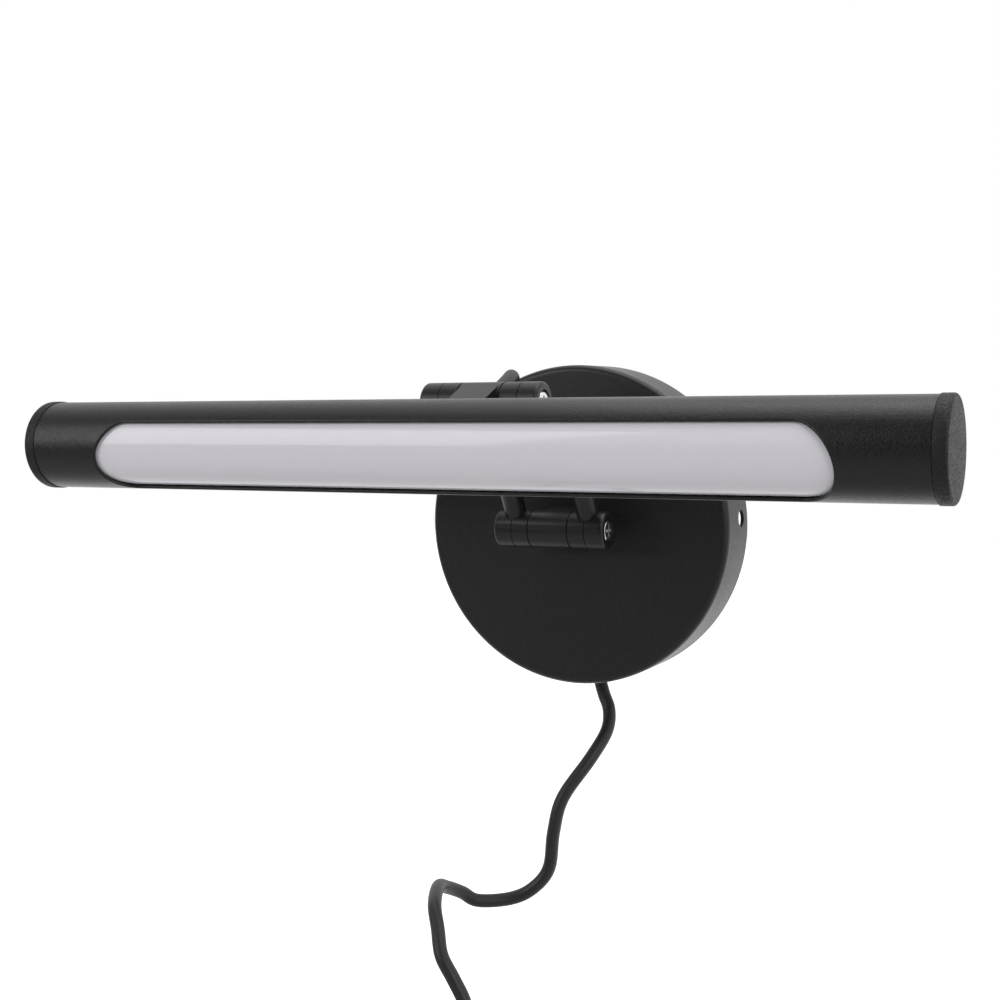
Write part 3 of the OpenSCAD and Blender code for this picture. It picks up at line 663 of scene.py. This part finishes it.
def cut_from(bm, cutters):
    """The bmesh with each closed cutter taken out of it."""
    def as_object(shape, name):
        mesh = bpy.data.meshes.new(name)
        shape.to_mesh(mesh)
        shape.free()
        return new_object(name, mesh)

    blank = as_object(bm, "blank")
    tools = [as_object(cutter, "cutter") for cutter in cutters]
    for tool in tools:
        cut = blank.modifiers.new("cut", "BOOLEAN")
        cut.operation = "DIFFERENCE"
        cut.solver = "EXACT"
        cut.object = tool
    bpy.context.view_layer.update()
    evaluated = blank.evaluated_get(bpy.context.evaluated_depsgraph_get())
    result = bmesh.new()
    result.from_mesh(evaluated.to_mesh())
    evaluated.to_mesh_clear()
    for made in [blank, *tools]:
        mesh = made.data
        bpy.data.objects.remove(made)
        bpy.data.meshes.remove(mesh)
    bmesh.ops.remove_doubles(result, verts=result.verts, dist=MERGE)
    return result


def swept(line, diameter, closed=False):
    """A round rod along a line, drawn out ring by ring, with ends or closed on itself."""
    bm = bmesh.new()
    last = len(line) - 1

    def heading_at(i):
        if closed:
            return (line[(i + 1) % (last + 1)] - line[i - 1]).normalized()
        return (line[min(i + 1, last)] - line[max(i - 1, 0)]).normalized()

    heading, centre = heading_at(0), line[0]
    turn = heading.to_track_quat("Z", "X").to_matrix().to_4x4()
    ring = bmesh.ops.create_circle(
        bm, cap_ends=False, segments=ROD_SIDES, radius=diameter / 2,
        matrix=Matrix.Translation(centre) @ turn,
    )["verts"]
    if not closed:
        bmesh.ops.contextual_create(bm, geom=ring)
    edges = list({e for v in ring for e in v.link_edges})
    for i in range(1, last + 1 + closed):
        i %= last + 1
        ring, edges = drawn_out(bm, edges)
        bend = heading.rotation_difference(heading_at(i)).to_matrix().to_4x4()
        move = Matrix.Translation(line[i]) @ bend @ Matrix.Translation(-centre)
        bmesh.ops.transform(bm, matrix=move, verts=ring)
        heading, centre = heading_at(i), line[i]
    if closed:
        bmesh.ops.remove_doubles(bm, verts=bm.verts, dist=2 * MERGE)
    else:
        bmesh.ops.contextual_create(bm, geom=ring)
    return bm


# ---------- cords ----------

mains_curve = bpy.data.curves.new("mains_flex", "CURVE")
mains_curve.dimensions = "3D"
mains_curve.bevel_depth = CORD_D / 2
mains_curve.bevel_resolution = 6
mains_curve.use_fill_caps = True
spline = mains_curve.splines.new("POLY")
spline.points.add(len(mains_line) - 1)
for point, at in zip(spline.points, mains_line):
    point.co = (*at, 1)
spline.use_smooth = True
mains_flex = new_object("mains_flex", mains_curve)
mains_curve.materials.append(finishes["cord_black"])
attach(mains_flex, "wall_cup")
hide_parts("mains_cord", "cord_coil", "cord_tail")

head_line, wall_line = lamp_cable_line[: CABLE_JOIN + 1], lamp_cable_line[CABLE_JOIN:]
cable_to_head = add_piece("cable_to_head", swept(head_line, CABLE_D), "cord_black")
cable_to_wall = add_piece("cable_to_wall", swept(wall_line, CABLE_D), "cord_black")
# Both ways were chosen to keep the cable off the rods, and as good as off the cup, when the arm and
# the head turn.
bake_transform(cable_to_wall)
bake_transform(cable_to_head)
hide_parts("lamp_cable_head_end")
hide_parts("lamp_cable_wall_end")

# ---------- wall cup ----------


def cup_outline():
    """The drawn sheet's section, from the rim at the wall to the front and back along the inside."""
    edge_r, edge_at = CUP_R - CUP_EDGE_R, CUP_DEPTH - CUP_EDGE_R
    return (
        [(CUP_R - CUP_RIM_EDGE, 0), (CUP_R, CUP_RIM_EDGE)]
        + arc(edge_r, edge_at, CUP_EDGE_R, 0, 90, 10)
        + [(0, CUP_DEPTH), (0, CUP_DEPTH - CUP_SHEET)]
        + arc(edge_r, edge_at, CUP_EDGE_R - CUP_SHEET, 90, 0, 8)
        + [(CUP_R - CUP_SHEET, CUP_RIM_EDGE), (CUP_R - CUP_SHEET + CUP_RIM_EDGE, 0)]
    )


# Where the cutters start and end, so that they go through the rim, and through the front
past_rim = (50 * MM, 65 * MM)
past_front = (20 * MM, 28 * MM)
rim_hole = turned_with_cup @ Matrix.Translation(mm(0, -RIM_HOLE_OUT, 0)) @ ALONG_X
cord_hole = (
    turned_with_cup @ Matrix.Translation(mm(0, -CORD_HOLE_OUT, 0)) @ Matrix.Rotation(math.pi, 4, "X")
)
cup_bm = cut_from(turned(cup_outline(), FACING_OUT, CUP_SIDES), [
    rod_cutter(RIM_HOLE_R, *past_rim, rim_hole),
    rod_cutter(RIM_HOLE_R, -past_rim[1], -past_rim[0], rim_hole),
    rod_cutter(CORD_HOLE_R, *past_rim, cord_hole),
    rod_cutter(STUD_HOLE_R, *past_front, FACING_OUT),
    rod_cutter(CABLE_HOLE_R, *past_front, Matrix.Translation((0, 0, CABLE_HOLE_UP)) @ FACING_OUT),
])
round_edges(cup_bm, 0.18 * MM, 2, angle=50)
drawn_cup = evened(add_piece("drawn_cup", cup_bm, "cup_paint", "wall_cup"))
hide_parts("cup")

# ---------- lamp tube, caps and diffuser ----------

lip_centre_r = TUBE_R - LIP_R


def pipe(inner_r, outer_r, length):
    """A plain pipe along the X axis."""
    return turned(
        [(inner_r, -length / 2), (outer_r, -length / 2), (outer_r, length / 2), (inner_r, length / 2)],
        ALONG_X, TUBE_SIDES,
    )


def window_outline():
    """A flat, round-ended face, as large as the window with its lip."""
    bm = bmesh.new()
    half = (WINDOW_L - WINDOW_W) / 2
    bmesh.ops.create_circle(bm, cap_ends=True, segments=128, radius=WINDOW_W / 2 + LIP_R)
    right = [v for v in bm.verts if v.co.x > TINY]
    left = [v for v in bm.verts if v.co.x < -TINY]
    bmesh.ops.translate(bm, verts=right, vec=(half, 0, 0))
    bmesh.ops.translate(bm, verts=left, vec=(-half, 0, 0))
    bmesh.ops.dissolve_verts(bm, verts=[v for v in bm.verts if abs(v.co.x) < TINY])
    bmesh.ops.transform(bm, matrix=FACING_OUT, verts=bm.verts)
    return bm


def on_lip(point):
    """The point of the window's outline on the middle line of its rounded lip."""
    return Vector((point.x, -math.sqrt(lip_centre_r ** 2 - point.z ** 2), point.z))


def window_cutter():
    """Cuts the tube's wall square to its surface, along the middle of the rounded lip."""
    bm = window_outline()
    bmesh.ops.delete(bm, geom=bm.faces[:], context="FACES_ONLY")
    rim, edges = bm.verts[:], bm.edges[:]
    middle = {v: on_lip(v.co) for v in rim}
    inside, outside, reach = 0.9, 1.1, 5 * MM
    for v in rim:
        v.co = Vector((middle[v].x, -reach, middle[v].z * inside))
    for share in (inside, outside, None):
        below = {v.co.to_tuple(): middle[v] for v in rim}
        rim, edges = drawn_out(bm, edges)
        middle = {v: below[v.co.to_tuple()] for v in rim}
        for v in rim:
            at = middle[v]
            if share:
                v.co = Vector((at.x, at.y * share, at.z * share))
            else:
                v.co = Vector((at.x, -TUBE_R - reach, v.co.z))
    bmesh.ops.holes_fill(bm, edges=[e for e in bm.edges if e.is_boundary])
    bmesh.ops.recalc_face_normals(bm, faces=bm.faces)
    return bm


outline_bm = window_outline()
lip_line = [on_lip(loop.vert.co) for face in outline_bm.faces for loop in face.loops]
outline_bm.free()

# The same for the tube's back
past_back = (5 * MM, 20 * MM)
back_holes = [rod_cutter(NECK_BORE_R, *past_back, FACING_BACK)] + [
    rod_cutter(
        NECK_SCREW_R, *past_back,
        Matrix.Translation((s * NECK_SCREW_OUT, 0, -s * NECK_SCREW_OUT)) @ FACING_BACK, 32,
    )
    for s in (-1, 1)
]
tube_bm = cut_from(pipe(TUBE_BORE_R, TUBE_R, TUBE_L), [window_cutter(), *back_holes])
lip_mesh = bpy.data.meshes.new("lip")
lip_bm = swept(lip_line, 2 * LIP_R, closed=True)
lip_bm.to_mesh(lip_mesh)
lip_bm.free()
tube_bm.from_mesh(lip_mesh)
bpy.data.meshes.remove(lip_mesh)
bmesh.ops.transform(tube_bm, matrix=in_head, verts=tube_bm.verts)
painted_tube = evened(add_piece("painted_tube", tube_bm, "tube_paint", "lamp_head"))
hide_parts("lamp_tube")

cap_outline = (
    [(0, 0), (SPIGOT_R - SPIGOT_WALL, 0), (SPIGOT_R - SPIGOT_WALL, -SPIGOT_L),
     (SPIGOT_R - SPIGOT_LEAD, -SPIGOT_L), (SPIGOT_R, SPIGOT_LEAD - SPIGOT_L), (SPIGOT_R, CAP_SEAM)]
    + arc(CAP_R - CAP_SKIRT_R, CAP_SEAM + CAP_SKIRT_R, CAP_SKIRT_R, -90, 0, 3)
    + arc(CAP_R - CAP_EDGE_R, CAP_T - CAP_EDGE_R, CAP_EDGE_R, 0, 90, 8)
    + [(0, CAP_T)]
)
for side, name in ((-1, "left"), (1, "right")):
    turn = Matrix.Rotation(math.radians(90 * side), 4, "Y")
    cap = add_piece(
        "turned_cap_" + name,
        turned(cap_outline, in_head @ turn @ Matrix.Translation((0, 0, TUBE_L / 2)), TUBE_SIDES),
        "cap_paint", "lamp_head", 40,
    )
    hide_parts("end_cap_" + name)

sheet_bm = pipe(DIFFUSER_R - DIFFUSER_T, DIFFUSER_R, DIFFUSER_L)
bmesh.ops.bisect_plane(
    sheet_bm, geom=everything(sheet_bm),
    plane_co=(0, -DIFFUSER_CUT, 0), plane_no=(0, 1, 0), clear_outer=True,
)
bmesh.ops.holes_fill(sheet_bm, edges=[e for e in sheet_bm.edges if e.is_boundary])
bmesh.ops.transform(sheet_bm, matrix=in_head, verts=sheet_bm.verts)
milky_sheet = add_piece("milky_sheet", sheet_bm, "milky", "lamp_head", 40)
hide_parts("diffuser")

# ---------- arm ----------

arm_centre = wall_hinge - Vector((0, ARM_R * math.cos(ARM_LEAN), ARM_R * math.sin(ARM_LEAN)))
end_angle = math.asin(ROD_SHORT / ARM_R)
for side, name in ((-1, "left"), (1, "right")):
    bm = bmesh.new()
    bmesh.ops.create_circle(
        bm, cap_ends=True, segments=48, radius=ROD_R,
        matrix=Matrix.Translation((side * ROD_OUT, ARM_R, 0)),
    )
    place = Matrix.Translation(arm_centre) @ Matrix.Rotation(ARM_LEAN + end_angle, 4, "X")
    bmesh.ops.transform(bm, matrix=place, verts=bm.verts)
    bmesh.ops.spin(
        bm, geom=everything(bm), cent=arm_centre, axis=(1, 0, 0), dvec=(0, 0, 0),
        angle=ARM_SWEEP - 2 * end_angle, steps=40, use_merge=False, use_duplicate=False,
    )
    rod = add_piece("bent_rod_" + name, bm, "hinge_paint", "arm", 40)
    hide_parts("arm_rod_" + name)

for hinge in ("wall", "head"):
    for half in ("inner", "outer"):
        for name in ("left", "right"):
            softened(f"{hinge}_clamp_{half}_{name}", "hinge_paint", "arm", 0.22 * MM)

# ---------- hinges, and inside the cup ----------

for node, slot, body, width, segments in (
    ("wall_knuckle", "hinge_paint", "wall_cup", 0.45, 3),
    ("head_knuckle", "hinge_paint", "lamp_head", 0.45, 3),
    ("wall_pivot_screws", "screw_chrome", "wall_cup", 0.12, 2),
    ("head_pivot_screws", "screw_chrome", "lamp_head", 0.12, 2),
    ("stud_nut", "zinc", "wall_cup", 0.35, 2),
    ("stud_washer", "zinc", "wall_cup", 0.15, 2),
    ("driver_case", "driver_white", "wall_cup", 0.3, 2),
    ("driver_lid", "driver_white", "wall_cup", 0.3, 2),
    ("cord_strain_relief", "bush_black", "wall_cup", 0.12, 2),
    ("cable_grommet", "bush_black", "wall_cup", 0.12, 2),
):
    softened(node, slot, body, width * MM, segments)

# ---------- plug and tie ----------

plug_top = tail_line[-2]


def plug_shell():
    """The plug's moulded body: rounded, with grip grooves across its two narrow sides."""
    bm = bmesh.new()
    add_box(bm, Matrix.Translation(plug_top + mm(0, 0, -PLUG_DOWN)), PLUG_SIZE)
    upright = [e for e in bm.edges if abs(e.verts[0].co.z - e.verts[1].co.z) > 20 * MM]
    bevel(bm, upright, 4 * MM, 8)
    rims = [e for e in bm.edges if e.calc_face_angle(0.0) > math.radians(60)]
    bevel(bm, rims, 1.4 * MM, 4)
    for groove in range(GROOVES):
        z = plug_top.z - (FIRST_GROOVE_DOWN + GROOVE_STEP * groove) * MM
        for shift in (-GROOVE_HALF_W, 0, GROOVE_HALF_W):
            bmesh.ops.bisect_plane(
                bm, geom=everything(bm), plane_co=(0, 0, z + shift * MM), plane_no=(0, 0, 1)
            )
        for v in bm.verts:
            if abs(v.co.z - z) < MERGE and abs(v.co.x - plug_top.x) > 10 * MM:
                v.co.x -= math.copysign(GROOVE_DEPTH * MM, v.co.x - plug_top.x)
    return bm


def boot_outline():
    """Tapered boot with soft ribs, from its thin end at the cord to the plug's body."""
    points = [(BOOT_BORE_R, 0), (BOOT_THIN_R - 0.2, 0), (BOOT_THIN_R, -0.3)]
    for rib in range(RIBS):
        down = FIRST_RIB_DOWN + RIB_STEP * rib
        radius = BOOT_THIN_R + (BOOT_THICK_R - BOOT_THIN_R) * down / BOOT_L
        points += [
            (radius, -down), (radius - RIB_DEPTH, -down - 0.5),
            (radius - RIB_DEPTH, -down - 1.3), (radius + 0.1, -down - 1.8),
        ]
    points += [(BOOT_THICK_R, -BOOT_L), (BOOT_BORE_R, -BOOT_L)]
    return [(r * MM, z * MM) for r, z in points]


shell = add_piece("plug_shell", plug_shell(), "plug_black", "wall_cup", 30)
boot = add_piece(
    "plug_boot", turned(boot_outline(), Matrix.Translation(plug_top), 64), "plug_black", "wall_cup", 30
)
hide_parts("plug_body")
blade_down = PLUG_DOWN + PLUG_SIZE[2] / 2 + BLADE_SIZE[2] / 2
for side, name in ((-1, "left"), (1, "right")):
    bm = bmesh.new()
    blade_x = side * BLADE_SPACING / 2
    add_box(bm, Matrix.Translation(plug_top + mm(blade_x, 0, -blade_down)), BLADE_SIZE)
    tips = [e for e in bm.edges if max(v.co.z for v in e.verts) < plug_top.z - 60 * MM]
    bevel(bm, tips, 0.5 * MM, 2)
    hole_at = Matrix.Translation(plug_top + mm(blade_x, 0, -BLADE_HOLE_DOWN)) @ ALONG_X
    bm = cut_from(bm, [rod_cutter(BLADE_HOLE_R * MM, -2 * MM, 2 * MM, hole_at, 32)])
    blade = add_piece("plug_blade_" + name, bm, "pin_metal", "wall_cup", 30)
    if side > 0:
        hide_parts("plug_pins")

tie_at = Matrix.Translation(mm(COIL_AT[0] - COIL_R, COIL_AT[1], COIL_AT[2]))
tie_bm = turned([
    (radius * MM, height * MM) for radius, height in (
        (TIE_INNER_R, -TIE_HALF_W), (TIE_OUTER_R, -TIE_HALF_W),
        (TIE_OUTER_R, TIE_HALF_W), (TIE_INNER_R, TIE_HALF_W),
    )
], tie_at, 72)
round_edges(tie_bm, 0.25 * MM, 2)
add_box(tie_bm, tie_at @ Matrix.Translation(mm(0, -TIE_HEAD_OUT, 0)), TIE_HEAD_SIZE)
nylon_tie = add_piece("nylon_tie", tie_bm, "nylon_black", "wall_cup", 30)
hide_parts("coil_tie")


# ---------- finishes on the CAD pieces that stay ----------

for subpart in frame["record"]["subparts"]:
    slots = nodes[subpart["node"]].data.materials
    slots.clear()
    slots.append(finishes[subpart["material_slot"]])

# ---------- floor, light and background ----------

FLOOR_Z = -0.55
FLOOR_HALF = 6
FLOOR_GREY = 0.55
FLOOR_GLOW = 0.9
AIM = Vector((0, -0.08, 0))

# The surroundings light the scene from behind, and dimly from the front and from below.
# To the eye, straight or through the diffuser, they are white all round.
world = bpy.data.worlds.new("studio")
bpy.context.scene.world = world
world.use_nodes = True
sky = world.node_tree
direction = node_in(sky, "ShaderNodeTexCoord").outputs["Generated"]
split = node_in(sky, "ShaderNodeSeparateXYZ", [(0, direction)]).outputs
leaning = maths(sky, "MULTIPLY_ADD", split["X"], 0.35, split["Y"])
behind = spread(sky, leaning, -0.8, 0.15, 0.12, 1.0)
above = spread(sky, split["Z"], -0.7, 0.0, 0.3, 1.0)
tent = maths(sky, "MULTIPLY", behind, above)
rays = node_in(sky, "ShaderNodeLightPath").outputs
seen = maths(sky, "MAXIMUM", rays["Is Camera Ray"], rays["Is Transmission Ray"])
level = node_in(sky, "ShaderNodeMix", [("Factor", seen), ("A", tent), ("B", 1.0)]).outputs[0]
sky.links.new(level, sky.nodes["Background"].inputs["Strength"])
sky.nodes["Background"].inputs["Color"].default_value = (1, 1, 1, 1)

# The floor is pale. It glows for the eye, straight or through the diffuser, and in what mirrors its
# far part, but gives the scene no light of its own.
floor_bm = bmesh.new()
bmesh.ops.create_grid(
    floor_bm, x_segments=1, y_segments=1, size=FLOOR_HALF, matrix=Matrix.Translation((0, 0, FLOOR_Z))
)
floor_mesh = bpy.data.meshes.new("floor")
floor_bm.to_mesh(floor_mesh)
floor_bm.free()
floor = new_object("floor", floor_mesh)
pale, pale_tree, pale_shader = new_finish("pale_floor", {"Roughness": 0.9, "Specular IOR Level": 0.0})
pale_shader.inputs["Base Color"].default_value = (FLOOR_GREY, FLOOR_GREY, FLOOR_GREY, 1)
pale_shader.inputs["Emission Color"].default_value = (1, 1, 1, 1)
rays = node_in(pale_tree, "ShaderNodeLightPath").outputs
place = node_in(pale_tree, "ShaderNodeTexCoord").outputs["Object"]
far = node_in(pale_tree, "ShaderNodeSeparateXYZ", [(0, place)]).outputs["Y"]
mirrored = maths(pale_tree, "MULTIPLY", rays["Is Glossy Ray"], spread(pale_tree, far, -0.1, 0.4))
seen = maths(pale_tree, "MAXIMUM", rays["Is Camera Ray"], rays["Is Transmission Ray"])
shown = maths(pale_tree, "MAXIMUM", seen, mirrored)
glow = ranged(pale_tree, shown, 0.0, FLOOR_GLOW)
pale_tree.links.new(glow, pale_shader.inputs["Emission Strength"])
floor_mesh.materials.append(pale)


def soft_lamp(name, at, width, height, watts, upward=(0, 0, 1)):
    """A flat lamp turned to the light, with its height along the upward direction."""
    lamp = bpy.data.lights.new(name, "AREA")
    lamp.shape = "RECTANGLE"
    lamp.size, lamp.size_y = width, height
    lamp.energy = watts
    made = new_object(name, lamp)
    away = (Vector(at) - AIM).normalized()
    across = Vector(upward).cross(away).normalized()
    turn = Matrix((across, away.cross(across), away)).transposed()
    made.matrix_world = Matrix.Translation(at) @ turn.to_4x4()


soft_lamp("overhead", (0.25, 0.12, 1.3), 1.5, 1.0, 8.5, upward=(0, 1, 0))
soft_lamp("left_front", (-0.92, -1.25, 0.6), 0.8, 1.0, 8.5)
soft_lamp("right_front", (1.2, -1.0, 0.5), 0.6, 0.6, 5)

bpy.context.scene.view_settings.view_transform = "Standard"
